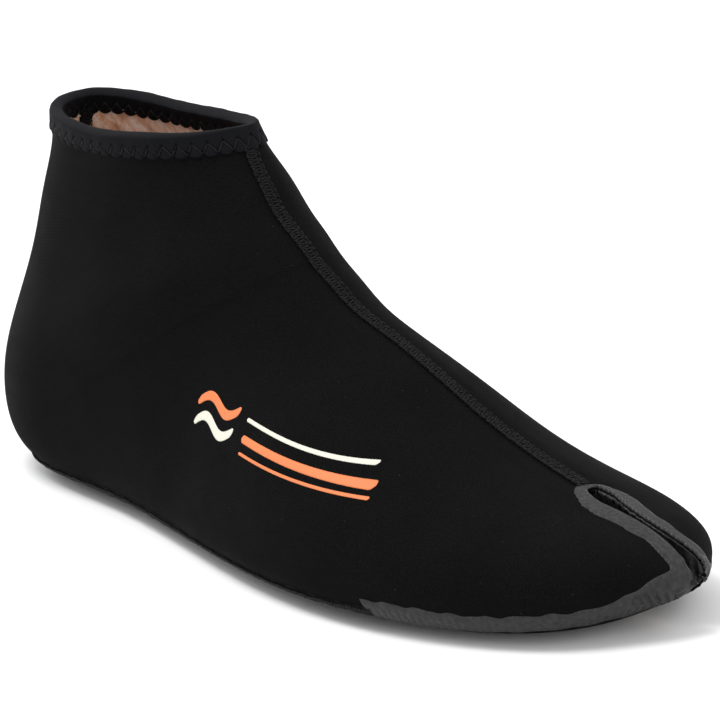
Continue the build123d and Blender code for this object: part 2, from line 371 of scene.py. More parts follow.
def settle(tree, points, height):
    """Each point moved to height above the nearest place of a surface."""
    flat, out = np.asarray(points).reshape(-1, 3), []
    heights = np.broadcast_to(height, np.asarray(points).shape[:-1]).ravel()
    for p, h in zip(to_part(flat), heights):
        place, normal, _, _ = tree.find_nearest(Vector(p))
        out.append(from_part(np.array(place) + np.array(normal) * h * MM))
    return np.array(out).reshape(np.asarray(points).shape)


def read_off(at, along, values):
    """Vectors known at places along a line, read off at other places."""
    return np.stack([np.interp(at, along, values[:, k]) for k in range(3)], -1)


def resample(points, step):
    """The same line with its points about a step apart."""
    along = lengths(points, 0)
    return read_off(np.linspace(0, along[-1], max(3, int(along[-1] / step) + 1)), along, points)


def tangents(points):
    """Unit tangents along a line of points."""
    t = np.gradient(points, axis=0)
    return t / np.maximum(np.linalg.norm(t, axis=1, keepdims=True), 1e-9)


def tube(points, radius, sides=6, closed=False):
    """A thread: (verts, faces) of a round tube along points, closed at its ends."""
    n = len(points)
    t = tangents(np.vstack([points[-1:], points, points[:1]]))[1:-1] if closed else tangents(points)
    a = np.cross(t, [0.31, 0.12, 0.94])      # any direction across the thread
    a /= np.maximum(np.linalg.norm(a, axis=1, keepdims=True), 1e-9)
    b = np.cross(t, a)
    angle = np.linspace(0, 2 * math.pi, sides, endpoint=False)
    r = np.broadcast_to(radius, (n,))[:, None, None]
    ring = points[:, None] + r * (np.cos(angle)[None, :, None] * a[:, None]
                                  + np.sin(angle)[None, :, None] * b[:, None])
    faces = [tuple(f) for f in grid_faces(n, sides, wrap_columns=True, wrap_rows=closed)]
    if not closed:
        faces.append(tuple(range(sides)))
        faces.append(tuple(reversed(range((n - 1) * sides, n * sides))))
    return ring.reshape(-1, 3), faces


# ---- materials -------------------------------------------


class Nodes:
    """A short way to build a node tree."""

    def __init__(self, name):
        self.material = bpy.data.materials.new(name)
        self.material.use_nodes = True
        self.tree = self.material.node_tree
        self.shader = self.tree.nodes["Principled BSDF"]

    def add(self, kind, inputs=(), **settings):
        node = self.tree.nodes.new(kind)
        for key, value in settings.items():
            setattr(node, key, value)
        for key, value in dict(inputs).items():
            self.put(value, node.inputs[key])
        return node

    def put(self, value, socket):
        if isinstance(value, bpy.types.NodeSocket):
            self.tree.links.new(value, socket)
        else:
            socket.default_value = value

    def noise(self, where, scale, detail=3.0, rough=0.55):
        inputs = {"Vector": where, "Scale": scale, "Detail": detail, "Roughness": rough}
        return self.add("ShaderNodeTexNoise", inputs).outputs["Fac"]

    def ramp(self, value, stops):
        node = self.add("ShaderNodeValToRGB", {"Fac": value})
        ramp = node.color_ramp
        while len(ramp.elements) < len(stops):
            ramp.elements.new(0.5)
        for element, (place, colour) in zip(ramp.elements, stops):
            element.position = place
            element.color = (*colour, 1) if len(colour) == 3 else (colour[0],) * 3 + (1,)
        return node.outputs["Color"]

    def fade(self, value, low, high):
        """From 0 at low to 1 at high."""
        return self.ramp(value, [(low, (0,)), (high, (1,))])

    def math(self, kind, a, b=0.0):
        node = self.add("ShaderNodeMath", operation=kind)
        self.put(a, node.inputs[0])
        self.put(b, node.inputs[1])
        return node.outputs[0]

    def mix(self, factor, a, b):
        node = self.add("ShaderNodeMix", data_type="RGBA")
        self.put(factor, node.inputs["Factor"])
        self.put((*a, 1) if isinstance(a, tuple) else a, node.inputs["A"])
        self.put((*b, 1) if isinstance(b, tuple) else b, node.inputs["B"])
        return node.outputs["Result"]

    def bump(self, height, distance, strength=1.0, under=None):
        inputs = {"Height": height, "Distance": distance * MM, "Strength": strength}
        if under is not None:
            inputs["Normal"] = under
        return self.add("ShaderNodeBump", inputs).outputs["Normal"]

    def finish(self, colour, roughness, normal=None, **fixed):
        self.put(colour, self.shader.inputs["Base Color"])
        self.put(roughness, self.shader.inputs["Roughness"])
        if normal is not None:
            self.put(normal, self.shader.inputs["Normal"])
        for key, value in fixed.items():
            self.shader.inputs[key.replace("_", " ")].default_value = value
        return self.material


def places(nodes):
    """Object coordinates in millimetres, and the cloth's own millimetres."""
    coordinates = nodes.add("ShaderNodeTexCoord")
    scaled = nodes.add("ShaderNodeVectorMath", operation="SCALE")
    nodes.put(coordinates.outputs["Object"], scaled.inputs[0])
    scaled.inputs["Scale"].default_value = 1000.0
    return scaled.outputs[0], nodes.add("ShaderNodeUVMap", uv_map="cloth").outputs["UV"]


def times(colour, factor):
    return tuple(c * factor for c in colour)


def knit(nodes, cloth, wale, course):
    """Height of a jersey knit: short slanted loops in columns."""
    split = nodes.add("ShaderNodeSeparateXYZ", {"Vector": cloth})
    x = nodes.math("MULTIPLY", split.outputs[0], 2 * math.pi / wale)
    y = nodes.math("MULTIPLY", split.outputs[1], 2 * math.pi / course)
    column = nodes.math("ABSOLUTE", nodes.math("SINE", nodes.math("MULTIPLY", x, 0.5)))
    lean = nodes.math("MULTIPLY", nodes.math("COSINE", x), 0.9)
    loop = nodes.math("SINE", nodes.math("ADD", y, lean))
    return nodes.math("ADD", nodes.math("MULTIPLY", column, 0.6), nodes.math("MULTIPLY", loop, 0.4))


def neoprene_material(name, base, wale=0.9, course=0.7, lint=0.75):
    """Matte jersey over foam: knit grain, faint mottling and specks of lint."""
    n = Nodes(name)
    where, cloth = places(n)
    grain = n.noise(where, 2.6, 4.0, 0.65)
    broad = n.noise(where, 0.05, 3.0)
    specks = n.add("ShaderNodeTexVoronoi", {"Vector": where, "Scale": 0.42}).outputs["Distance"]
    lit = n.ramp(specks, [(0.045, (1,)), (0.075, (0,))])
    chosen = n.fade(n.noise(where, 0.23, 1.0), 0.58, 0.62)
    lint_mask = n.math("MULTIPLY", n.math("MULTIPLY", lit, chosen), lint)
    colour = n.mix(n.fade(grain, 0.35, 0.68), times(base, 0.45), times(base, 2.3))
    colour = n.mix(n.math("MULTIPLY", broad, 0.35), colour, times(base, 1.5))
    colour = n.mix(lint_mask, colour, (0.05, 0.048, 0.046))
    weave = n.bump(knit(n, cloth, wale, course), 0.10, 0.8)
    normal = n.bump(grain, 0.22, 1.0, weave)
    rough = n.ramp(broad, [(0.3, (0.72,)), (0.7, (0.86,))])
    return n.finish(colour, rough, normal, Specular_IOR_Level=0.04)


def thread_material(name, dark, light):
    """Black bulked thread: fine fibres in lighter and darker clumps, slightly glossy."""
    n = Nodes(name)
    where, _ = places(n)
    fibre, clump = n.noise(where, 5.0, 3.0, 0.7), n.noise(where, 0.95, 2.0, 0.6)
    lit = n.ramp(clump, [(0.40, (0.25,)), (0.60, (1.0,))])
    colour = n.mix(n.math("MULTIPLY", n.fade(fibre, 0.35, 0.75), lit), dark, light)
    return n.finish(colour, 0.55, n.bump(fibre, 0.2, 0.9), Specular_IOR_Level=0.15)


def binding_material():
    """Blue-black stretch tape with a fine rib along it."""
    n = Nodes("binding_tape")
    where, cloth = places(n)
    split = n.add("ShaderNodeSeparateXYZ", {"Vector": cloth})
    rib = n.math("SINE", n.math("MULTIPLY", split.outputs[0], 2 * math.pi / 0.7))
    fuzz = n.noise(where, 3.2, 4.0, 0.7)
    colour = n.mix(n.fade(fuzz, 0.3, 0.72), (0.0022, 0.0023, 0.0030), (0.0070, 0.0073, 0.0092))
    normal = n.bump(fuzz, 0.14, 0.8, n.bump(rib, 0.06, 0.6))
    return n.finish(colour, 0.72, normal, Specular_IOR_Level=0.06)


def rubber_material(name, colour, rough):
    """Brushed-on liquid rubber: uneven gloss, pits and the bumps of the stitches under it."""
    n = Nodes(name)
    where, _ = places(n)
    lumps, fine = n.noise(where, 0.75, 2.0), n.noise(where, 3.0, 3.0, 0.6)
    tone = n.mix(n.fade(lumps, 0.3, 0.7), times(colour, 0.55), times(colour, 1.45))
    normal = n.bump(fine, 0.1, 0.7, n.bump(lumps, 0.35, 0.8))
    roughness = n.ramp(fine, [(0.3, (rough - 0.1,)), (0.7, (rough + 0.12,))])
    return n.finish(tone, roughness, normal, Specular_IOR_Level=0.28)


def fleece_material():
    """Peach fleece with orange and brown marl streaks that run down the leg."""
    n = Nodes("fleece_lining")
    where, _ = places(n)
    split = n.add("ShaderNodeSeparateXYZ", {"Vector": where})
    x = n.math("ADD", split.outputs[0], n.math("MULTIPLY", split.outputs[2], 0.45))
    tilted = n.add("ShaderNodeCombineXYZ", {"X": x, "Y": split.outputs[1],
                                            "Z": n.math("MULTIPLY", split.outputs[2], 0.22)})
    marl = n.noise(tilted.outputs[0], 0.22, 5.0, 0.72)
    tuft = n.noise(where, 1.6, 4.0, 0.7)
    colour = n.ramp(marl, [(0.30, (0.42, 0.15, 0.06)), (0.43, (0.80, 0.38, 0.19)),
                           (0.52, (0.88, 0.62, 0.48)), (0.64, (0.92, 0.76, 0.66))])
    shade = n.ramp(tuft, [(0.3, (0.72,)), (0.62, (1.0,))])
    mixed = n.add("ShaderNodeMix", data_type="RGBA", blend_type="MULTIPLY")
    n.put(1.0, mixed.inputs["Factor"])
    n.put(colour, mixed.inputs["A"])
    n.put(shade, mixed.inputs["B"])
    return n.finish(mixed.outputs["Result"], 0.95, n.bump(tuft, 0.5, 0.9),
                    Sheen_Weight=0.6, Sheen_Roughness=0.6)


def ink_material(name, colour):
    """Screen print that has sunk into the knit and cracked a little."""
    n = Nodes(name)
    where, _ = places(n)
    grain = n.noise(where, 2.8, 4.0, 0.7)
    colour = n.mix(n.fade(grain, 0.27, 0.36), (0.05, 0.045, 0.04), colour)
    return n.finish(colour, 0.6, n.bump(grain, 0.12, 0.8))


NEOPRENE_BLACK = neoprene_material("neoprene_jersey", (0.0022, 0.0022, 0.0024))
SOLE_BLACK = neoprene_material("sole_neoprene", (0.0021, 0.0021, 0.0023), wale=1.3, course=1.1)
THREAD = thread_material("black_thread", (0.0022, 0.0022, 0.0026), (0.017, 0.0172, 0.019))
THREAD_SHADE = thread_material("thread_in_shade", (0.0008, 0.0008, 0.0009), (0.002, 0.002, 0.0022))
BINDING = binding_material()
SEAL = rubber_material("liquid_rubber", (0.0145, 0.0145, 0.0157), 0.46)
# the lips' rubber is a lighter copy of the coat's rubber: its paler tone is a painted highlight on the
# rolled edges, and its lower roughness is real gloss
LIP_WITH_PAINTED_HIGHLIGHT = rubber_material("rolled_rubber_painted_highlight", (0.021, 0.021, 0.0225), 0.3)
GUSSET = rubber_material("gusset_skin", (0.005, 0.005, 0.0055), 0.36)
FLEECE = fleece_material()
ORANGE = ink_material("print_orange", (0.62, 0.165, 0.048))
WHITE = ink_material("print_white", (0.60, 0.59, 0.50))


def dress(obj, slot, *nodes):
    """Ties a piece to the body and hides the CAD nodes it stands for; the slot is not used."""
    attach(obj, "root")
    if nodes:
        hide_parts(*nodes)
    return obj


# ---- panels and linings ----------------------------------
SIDES = (("lateral", -1), ("medial", 1))
COUNT, UPPER_ROWS, SOLE_ROWS = 420, 130, 60                  # stations along a panel, rows across it
LINING_GRID, SOLE_LINING_GRID, GUIDE_GRID = (220, 70), (200, 40), (260, 80)
SKIN = NEOPRENE - 0.1                                        # a hair of room before the fleece


def sole_sheet(name, count, rows, material, offset=0.0, grow=0.0):
    """A lateral and a medial sole grid as one mesh, with its cloth coordinates."""
    grids = [(half_grid(side, "sole", count, rows, offset, grow), side) for _, side in SIDES]
    verts, faces = joined([(g, grid_faces(*g.shape[:2], flip=side > 0)) for g, side in grids])
    uv = np.concatenate([cloth_uv(g) * (1, -side) for g, side in grids])
    return make(name, verts, faces, material, uv=uv)


def fleece_grid(side):
    """The fleece's bonded face, slightly uneven."""
    grid = half_grid(side, "upper", *LINING_GRID, -NEOPRENE, WALL)
    fuzz = 0.16 * np.sin(grid[..., 0] * 2.9) * np.sin(grid[..., 2] * 3.3 + 2 * np.sin(grid[..., 0]))
    return grid + fuzz[..., None] * [0, side, 0]


uppers = {label: make_grid(f"skin_{label}_upper", half_grid(side, "upper", COUNT, UPPER_ROWS),
                           NEOPRENE_BLACK, flip=side > 0) for label, side in SIDES}
sole = sole_sheet("skin_sole", COUNT, SOLE_ROWS, SOLE_BLACK)
outer_tree = tree_of(uppers["lateral"], uppers["medial"], sole)
lateral_tree = tree_of(uppers["lateral"])

for label, side in SIDES:
    panel = thicken(uppers[label], SKIN)
    dress(panel, "neoprene_jersey", f"{label}_upper_panel")
    lining = make_grid(f"fleece_{label}_upper", fleece_grid(side), FLEECE, flip=side > 0)
    dress(thicken(lining, LINING), "fleece_lining", f"{label}_upper_lining")

dress(thicken(weld(sole), SKIN), "sole_neoprene", "sole_panel")
sole_lining = sole_sheet("fleece_sole", *SOLE_LINING_GRID, FLEECE, -NEOPRENE, WALL)
dress(thicken(weld(sole_lining), LINING), "fleece_lining", "sole_lining")


# ---- toe split gusset ------------------------------------
FLEECE_FRONT_X = 262.0                   # the fleece wall stops here, behind the open toe mouth


def toe_stations(side, start, count, grow=0.0):
    """Values of u over the toe end, closer together where the lobe closes."""
    return start + (lobe_end(side, grow) - start) * np.sin(np.linspace(0, math.pi / 2, count))


def edge_curves(side, grow=0.0):
    """The split's edge on top and under the sole, for one half, from the back end forward."""
    u = toe_stations(side, 12.0, 900, grow)
    top, _, bottom = half_angles(u, side, grow)
    over, below = skin_point(u, side * top), skin_point(u, side * bottom)
    return over[over[:, 0] > SPLIT_BACK_X - grow], below[below[:, 0] > SPLIT_BACK_X - grow]


def wall_grid(side, grow, rows=26):
    """One wall of the toe split, from its top edge down, bellied a little into the gap."""
    over, below = edge_curves(side, grow)
    over = resample(over[over[:, 0] < FLEECE_FRONT_X] if grow else over, 0.5)
    t = np.linspace(0, 1, rows)[None, :, None]
    foot = over.copy()
    foot[:, 2] = np.interp(over[:, 0], below[:, 0], below[:, 2])
    foot[:, 2] = np.minimum(foot[:, 2], over[:, 2])
    grid = over[:, None] * (1 - t) + foot[:, None] * t
    gap = split_half(grid[..., 0], grow)
    folds = 1 + 0.5 * np.sin(2.1 * grid[..., 0] + 0.25 * grid[..., 2])
    belly = 0.22 * gap * folds * np.sin(np.pi * t[..., 0]) ** 0.8 if grow == 0 else 0
    grid[..., 1] = seam_y(grid[..., 0]) + side * (gap - belly)
    return grid


for name, grow, material, slot, node, thick in (
    ("split_gusset", 0.0, GUSSET, "neoprene_jersey", "toe_split_gusset", NEOPRENE),
    ("split_gusset_fleece", NEOPRENE, FLEECE, "fleece_lining", "toe_split_gusset_lining", LINING),
):
    walls = [(wall_grid(side, grow), side) for _, side in SIDES]
    verts, faces = joined([(g, grid_faces(*g.shape[:2], flip=side < 0)) for g, side in walls])
    uv = np.concatenate([cloth_uv(g) for g, _ in walls])
    gusset = make(name, verts, faces, material, uv=uv)
    dress(thicken(weld(gusset, 0.05 * MM), thick * 0.95), slot, node)

# ---- seam lines on the skin ------------------------------


def seam_line(which, side=1):
    """Points along a seam of the finished skin."""
    if which == "instep":
        u = np.linspace(0.02, 14.2, 900)
        p = skin_point(u, half_angles(u, 1)[0])
        return p[p[:, 0] < SPLIT_BACK_X]
    if which == "heel":
        u = np.linspace(0.02, 7.2, 500)
        p = skin_point(u, half_angles(u, 1)[2])
        return p[p[:, 2] > 7.0]
    u = np.linspace(sole_start(side), lobe_end(side) - 1e-3, 1400)
    return skin_point(u, side * half_angles(u, side)[1])


instep, heel = seam_line("instep"), seam_line("heel")
sole_lines = {label: seam_line("sole", side) for label, side in SIDES}


def nearest_distance(points, line):
    """How far points are from a line's nearest point, and which of its points that is."""
    tree = KDTree(len(line))
    for i, p in enumerate(line):
        tree.insert(p, i)
    tree.balance()
    found = [tree.find(p) for p in points]
    return np.array([f[2] for f in found]), np.array([f[1] for f in found])


class Seam:
    """A seam line with its own directions: along it, across it on the skin, and out of the skin."""

    def __init__(self, points, tree):
        self.tree = tree
        self.points = resample(points, 0.25)
        self.along = lengths(self.points, 0)
        self.length = float(self.along[-1])
        normals = np.array([np.array(tree.find_nearest(Vector(p))[1]) for p in to_part(self.points)])
        self.across = np.cross(normals, tangents(self.points))
        self.across /= np.linalg.norm(self.across, axis=1, keepdims=True)

    def at(self, s, w, h):
        """The place s along, w across and h above the skin."""
        s, w = np.asarray(s, float), np.asarray(w, float)
        place = read_off(s, self.along, self.points)
        return settle(self.tree, place + read_off(s, self.along, self.across) * w[..., None], h)


def wave(s, pitch):
    """A triangle wave from -1 to 1."""
    return 2 * np.abs(2 * ((s / pitch) % 1) - 1) - 1


def flatlock_bed(seam, half_width, end):
    """The thin ragged bed under the loops."""
    ss, ww = np.meshgrid(np.arange(0, end, 0.4), np.linspace(-1, 1, 9), indexing="ij")
    ragged = half_width * (0.82 + 0.10 * wave(ss, FLATLOCK_PITCH) + 0.04 * np.sin(ss * 1.9))
    rise = 0.10 * np.sqrt(np.clip(1 - np.abs(ww) ** 3, 0, 1)) - 0.03
    return seam.at(ss, ww * ragged, rise), grid_faces(*ss.shape)


def looper_thread(seam, half_width, end, phase, lift):
    """A thread that crosses from edge to edge and back, once a pitch."""
    s = np.arange(0, end, FLATLOCK_PITCH / 8)
    drift = 0.12 * np.sin(s * 0.37 + 9 * phase) + 0.08 * np.sin(s * 1.31 + phase)
    zig = wave(s + phase * FLATLOCK_PITCH, FLATLOCK_PITCH)
    reach = half_width - 0.1 + 0.14 * np.sin(np.floor(2 * s / FLATLOCK_PITCH) * 2.4)
    high = lift + 0.12 * (1 - zig**2) + RNG.normal(0, 0.025, s.shape)
    return tube(seam.at(s + drift, zig * reach, high), 0.2 + 0.05 * np.abs(zig), 5)


def needle_dash(seam, place, first):
    """One needle stitch, bowed out of the seam, at a place across it."""
    s = first + np.linspace(0, FLATLOCK_PITCH * 0.72, 6)
    bow = np.sin(np.linspace(0, math.pi, 6))
    off = place + RNG.normal(0, 0.1)
    return tube(seam.at(s, np.full(6, off), 0.38 + 0.34 * bow), 0.13 + 0.14 * bow, 5)


def stray_fibre(seam, half_width, first):
    """A fine fibre that stands off one edge."""
    t = np.linspace(0, 1, 6)
    side, turn = RNG.choice([-1, 1]), RNG.uniform(-1, 1)
    s = np.clip(first + turn * t, 0, seam.length)
    off = side * (half_width - 0.4 + 0.7 * t * (1.6 - t))
    return tube(seam.at(s, off, 0.45 + 0.5 * np.sin(math.pi * t) * RNG.uniform(0.4, 1)), 0.055, 4)


def flatlock(seam, half_width, end=None):
    """A flatlock seam as one mesh, and how many of its first faces are its bed."""
    end = seam.length if end is None else end
    bed = flatlock_bed(seam, half_width, end)
    pieces = [bed]
    for phase, lift in ((0.0, 0.36), (0.5, 0.52)):
        pieces.append(looper_thread(seam, half_width, end, phase, lift))
    for place in (-0.82 * half_width, 0.82 * half_width):
        pieces += [needle_dash(seam, place, first) for first in np.arange(0.2, end - 1.6, FLATLOCK_PITCH)]
    pieces += [stray_fibre(seam, half_width, first) for first in RNG.uniform(0, end, int(end * 1.2))]
    return joined(pieces), len(bed[1])


def lay(name, made, slot="black_thread", node=None, material=THREAD, bed=0):
    """One piece; a seam's first faces, its flat bed, are in the shade of its loops."""
    obj = make(name, *made, material)
    if bed:
        obj.data.materials.append(THREAD_SHADE)
        shaded = np.arange(len(made[1])) < bed
        obj.data.polygons.foreach_set("material_index", shaded.astype(np.int32))
    return dress(obj, slot, *([node] if node else []))


def fleece_face_tree():
    """The fleece's free face, for the thread inside to lie on."""
    guides = [make_grid(f"guide_{label}", half_grid(side, "upper", *GUIDE_GRID, -WALL - 0.05), FLEECE,
                        flip=side < 0) for label, side in SIDES]
    tree = tree_of(*guides)
    for guide in guides:
        bpy.data.objects.remove(guide)
    return tree


binding_edge_z = RIM_Z - BINDING_DEPTH
# each seam's line, and how far its outer thread stops short of the line's front end
FLATLOCKS = (("instep", instep, 2.6), ("heel", heel, 0.0))
for where, line, short in FLATLOCKS:
    seam = Seam(line[line[:, 2] < binding_edge_z + 0.8], outer_tree)
    made, bed = flatlock(seam, FLATLOCK_HALF_WIDTH, seam.length - short)
    lay(f"{where}_flatlock", made, node=f"{where}_seam_stitching", bed=bed)

inner_tree = fleece_face_tree()
for where, line, _ in FLATLOCKS:
    seam = Seam(settle(inner_tree, line[line[:, 2] < binding_edge_z + 1.5][::3], 0.0), inner_tree)
    made, _ = flatlock(seam, FLATLOCK_HALF_WIDTH_INSIDE)
    lay(f"{where}_flatlock_inside", made, node=f"{where}_seam_stitching_inside")


def sole_stitching(seam, end, up):
    """Overlocked sole joint: a ragged rope of loops along the edge, mostly on the upper's side."""
    s = np.arange(0, end, 0.3)
    pieces = []
    for phase in (0.0, SOLE_STITCH_PITCH / 2):
        zig = wave(s + phase, SOLE_STITCH_PITCH)
        rise = 0.42 + 0.32 * (1 - zig**2) + RNG.normal(0, 0.05, s.shape)
        place = up * 1.1 + 1.45 * zig + 0.15 * np.sin(s * 0.7)
        pieces.append(tube(seam.at(s + RNG.normal(0, 0.08, s.shape), place, rise), 0.3, 5))
    ss, ww = np.meshgrid(np.arange(0, end, 0.6), np.linspace(-1, 1, 7), indexing="ij")
    bed = seam.at(ss, up * 0.9 + ww * 1.8, 0.28 * (1 - ww**4) - 0.03)
    pieces.append((bed, grid_faces(*ss.shape)))
    return joined(pieces)


for label, side in SIDES:
    seam = Seam(sole_lines[label], outer_tree)
    end = float(np.interp(SEAL_START_X + 1.0, seam.points[:, 0], seam.along))
    lay(f"{label}_sole_stitches", sole_stitching(seam, end, -side), node=f"{label}_sole_seam_stitching")

# ---- collar binding --------------------------------------
PHI = np.linspace(0, 2 * math.pi, 1080, endpoint=False)
COLLAR_U = np.linspace(-0.12, 2.0, 240)
# the bare form near the collar, for heights to be looked up on
uu, pp = np.meshgrid(COLLAR_U, PHI, indexing="ij")
collar_p, collar_n = form_point(uu, pp), form_normal(np.maximum(uu, 0.01), pp)


def collar_ring(height, offset, columns=None):
    """A ring round the collar, height above its edge (negative below) and offset out from the skin."""
    columns = np.arange(len(PHI), dtype=float) if columns is None else columns
    height, offset = np.broadcast_to(height, columns.shape), np.broadcast_to(offset, columns.shape)
    points = np.zeros((len(columns), 3))
    edge = np.interp(0.0, COLLAR_U, np.arange(len(COLLAR_U), dtype=float))
    first, part = int(edge), edge - int(edge)
    for i, (column, h, o) in enumerate(zip(columns, height, offset)):
        j = int(column) % len(PHI)
        z = collar_p[:, j, 2]
        rim_z = z[first] * (1 - part) + z[first + 1] * part
        u = np.interp(-(rim_z + min(h, 0.0)), -z, np.arange(len(z), dtype=float))
        k = min(int(u), len(z) - 2)
        f = u - k
        place = collar_p[k, j] * (1 - f) + collar_p[k + 1, j] * f
        points[i] = place + collar_n[k, j] * o + [0, 0, max(h, 0.0)]
    return points


rim = collar_ring(-3.0, 0.0)
rim_length = np.concatenate([[0], np.cumsum(np.linalg.norm(np.diff(rim, axis=0), axis=1))])
girth = rim_length[-1] + np.linalg.norm(rim[0] - rim[-1])
stitch_count = round(girth / ZIGZAG_PITCH)
S = rim_length / girth * stitch_count          # zigzags passed, for each ring point
ZIGZAG_MIDDLE, ZIGZAG_REACH = -3.9, 1.55


def binding_profile():
    """The folded tape in section: (height, offset) from its outer lower edge over the fold and back."""
    outside = [(-5.75, 0.05), (-6.0, 0.2), (-6.03, 0.42), (-5.87, 0.58)]
    outside += [(h, 0.86 - 0.2 * max(0, (-h - 4.4) / 1.2) ** 2) for h in np.arange(-5.6, -0.3, 0.24)]
    turns = np.linspace(0.12, math.pi - 0.12, 11)
    fold = [(0.95 * math.sin(a), -1.17 + 2.05 * math.cos(a)) for a in turns]
    inside = [(h, -WALL - 0.7 * o) for h, o in reversed(outside)]
    against_wall = [(-5.2, -WALL + 0.1), (-0.8, -WALL + 0.1), (-0.8, -0.1), (-5.2, -0.1)]
    return outside + fold + inside + against_wall


def binding():
    """The tape, drawn in at every needle hole, grooved by the zigzag and puffed out between."""
    lobe = np.abs(np.cos(math.pi * S)) ** 0.8       # 0 at the low needle holes, 1 half way between
    top = np.abs(np.sin(math.pi * S)) ** 0.8
    line = ZIGZAG_MIDDLE + ZIGZAG_REACH * wave(S, 1.0)
    rings = []
    for height, offset in binding_profile():
        low = np.clip((-height - 3.6) / 2.0, 0, 1)
        out = 1 if offset > -WALL / 2 else -1
        body = abs(offset + WALL / 2) > WALL / 2 + 0.12
        groove = (0.75 if out > 0 else 0.42) * bell(height - line, 0.55)
        puff = 0.48 * low * (lobe - 0.6)
        upper = 0.16 * (top - 0.5) * bell(height + 2.6, 1.3)
        uneven = 0.07 * np.sin(S * 1.7) + 0.05 * np.sin(S * 4.1 + 1)
        shift = out * (puff + upper + uneven - groove) * body
        scallop = np.minimum(height + 0.7 * low * (0.5 - lobe), height + 0.4)
        sway = 0.12 * np.sin(S * 0.9) if height > 0.3 else 0
        rings.append(collar_ring(scallop + sway, offset + shift))
    grid = np.stack(rings)
    k = len(grid)
    faces = grid_faces(k, len(PHI), wrap_rows=True, wrap_columns=True, flip=True)
    uv = np.stack([np.broadcast_to(rim_length, (k, len(PHI))),
                   np.broadcast_to(np.arange(k)[:, None] * 0.3, (k, len(PHI)))], -1)
    return grid, faces, uv.reshape(-1, 2)


grid, faces, uv = binding()
tape = make("binding", grid.reshape(-1, 3), faces, BINDING, uv=uv)
dress(tape, "binding_tape", "collar_binding")


def zigzag(outside):
    """Zigzag thread round the collar: a stitch each way, dipping into the tape at every needle hole."""
    fine = np.linspace(0, stitch_count, stitch_count * 18, endpoint=False)
    columns = np.interp(fine, S, np.arange(len(PHI)))
    height = ZIGZAG_MIDDLE + ZIGZAG_REACH * wave(fine, 1.0)
    dip = 1 - np.abs(wave(fine, 1.0)) ** 6
    offset = 0.15 + 0.38 * dip if outside else -WALL - 0.2 - 0.4 * dip
    return tube(collar_ring(height, offset, columns), 0.17 + 0.14 * dip, 6, closed=True)


lay("collar_zigzag_outside", zigzag(True), node="collar_stitching_outside")
lay("collar_zigzag_inside", zigzag(False), node="collar_stitching_inside")

# ---- rubber seals ----------------------------------------


def split_outline(side):
    """The split's edge on top, for one half."""
    return edge_curves(side)[0]


def soft_max(a, b, blend):
    """The larger of two values, blended where they are near each other."""
    return (a + b + np.sqrt((a - b) ** 2 + blend**2)) / 2


SEAL_TOP = Spline([195, 214, 234, 249, 257, 261.5, 264, 268],       # the coat's upper edge: z at x
                  [10.3, 10.6, 10.3, 11.5, 13.0, 16.2, 19.0, 21.5])


def seal_rooms(p, part, to_split, to_sole):
    """How far inside the split's coat and inside the sole seam's coat each point is."""
    x, z = p[:, 0], p[:, 2]
    wobble = 0.24 * np.sin(0.55 * x + 0.4 * p[:, 1]) + 0.10 * np.sin(1.3 * x + z)
    width = SPLIT_SEAL_WIDTH - 2.6 * bell(x - 226, 6) - 0.09 * np.clip(x - 245, 0, 12)
    if part == "upper":
        split_room = width + wobble - to_split
        sole_room = 0.9 * (SEAL_TOP(x) - z) + wobble
    else:
        split_room, sole_room = np.full(len(p), -9.0), 3.4 + wobble - to_sole
    return split_room, np.minimum(sole_room, (x - SEAL_START_X) * 0.9 + 0.25 * (z - 5))


def seal_height(x, room, to_split, to_sole, along):
    """The coat's surface over the skin: edge, stitches under it, and wrinkles at the toe."""
    thickness = SEAL_THICKNESS * np.sqrt(np.clip(room / 0.9, 0, 1))
    stitches = 0.10 * np.sin(along * 2 * math.pi / SOLE_STITCH_PITCH) * bell(to_sole - 1.5, 1.6)
    ridges = np.sin(x * 2 * math.pi / 1.7 + np.sin(0.8 * x)) * (0.5 + 0.5 * np.sin(0.45 * x))
    stitches = stitches + 0.11 * ridges * bell(to_split - 1.9, 0.7)
    toe = bell(x - 263, 3.5) * bell(to_sole - 4.5, 3.5)
    wrinkle = 0.42 * toe * (0.5 + np.sin(along * 2 * math.pi / 2.4 + to_sole * 1.3))
    return np.where(room > 0, thickness + (stitches + wrinkle) * np.clip(room / 1.5, 0, 1),
                    np.maximum(room, -0.12))


def seal_meshes():
    """Rubber over the skin wherever it lies near the toe split or the front of the sole seam."""
    made = {"toe_split_seal": [], "lateral_toe_seal": [], "medial_toe_seal": []}
    for label, side in SIDES:
        edge = split_outline(side)
        front = sole_lines[label][sole_lines[label][:, 0] > SEAL_START_X - 4]
        u = toe_stations(side, 10.8, 800)
        for part, rows in (("upper", UPPER_ROWS), ("sole", SOLE_ROWS)):
            uu, phi = panel_angles(u, side, part, rows)
            p, normal = skin_point(uu, phi).reshape(-1, 3), form_normal(uu, phi).reshape(-1, 3)
            to_split, _ = nearest_distance(p, edge)
            to_sole, at_sole = nearest_distance(p, front)
            split_room, sole_room = seal_rooms(p, part, to_split, to_sole)
            room = soft_max(split_room, sole_room, 1.6 if part == "upper" else 0.1) - 0.1
            height = seal_height(p[:, 0], room, to_split, to_sole, lengths(front, 0)[at_sole])
            raised = p + normal * height[:, None]
            raised[:, 2] = np.maximum(raised[:, 2], 0.02)
            faces = grid_faces(*uu.shape, flip=side > 0)
            keep = (room[faces] > -0.5).any(1)
            is_split = (split_room > sole_room)[faces].all(1)
            for name, mask in (("toe_split_seal", keep & is_split),
                               (f"{label}_toe_seal", keep & ~is_split)):
                used, index = np.unique(faces[mask], return_inverse=True)
                if len(used):
                    made[name].append((raised[used], index.reshape(-1, 4)))
    return made


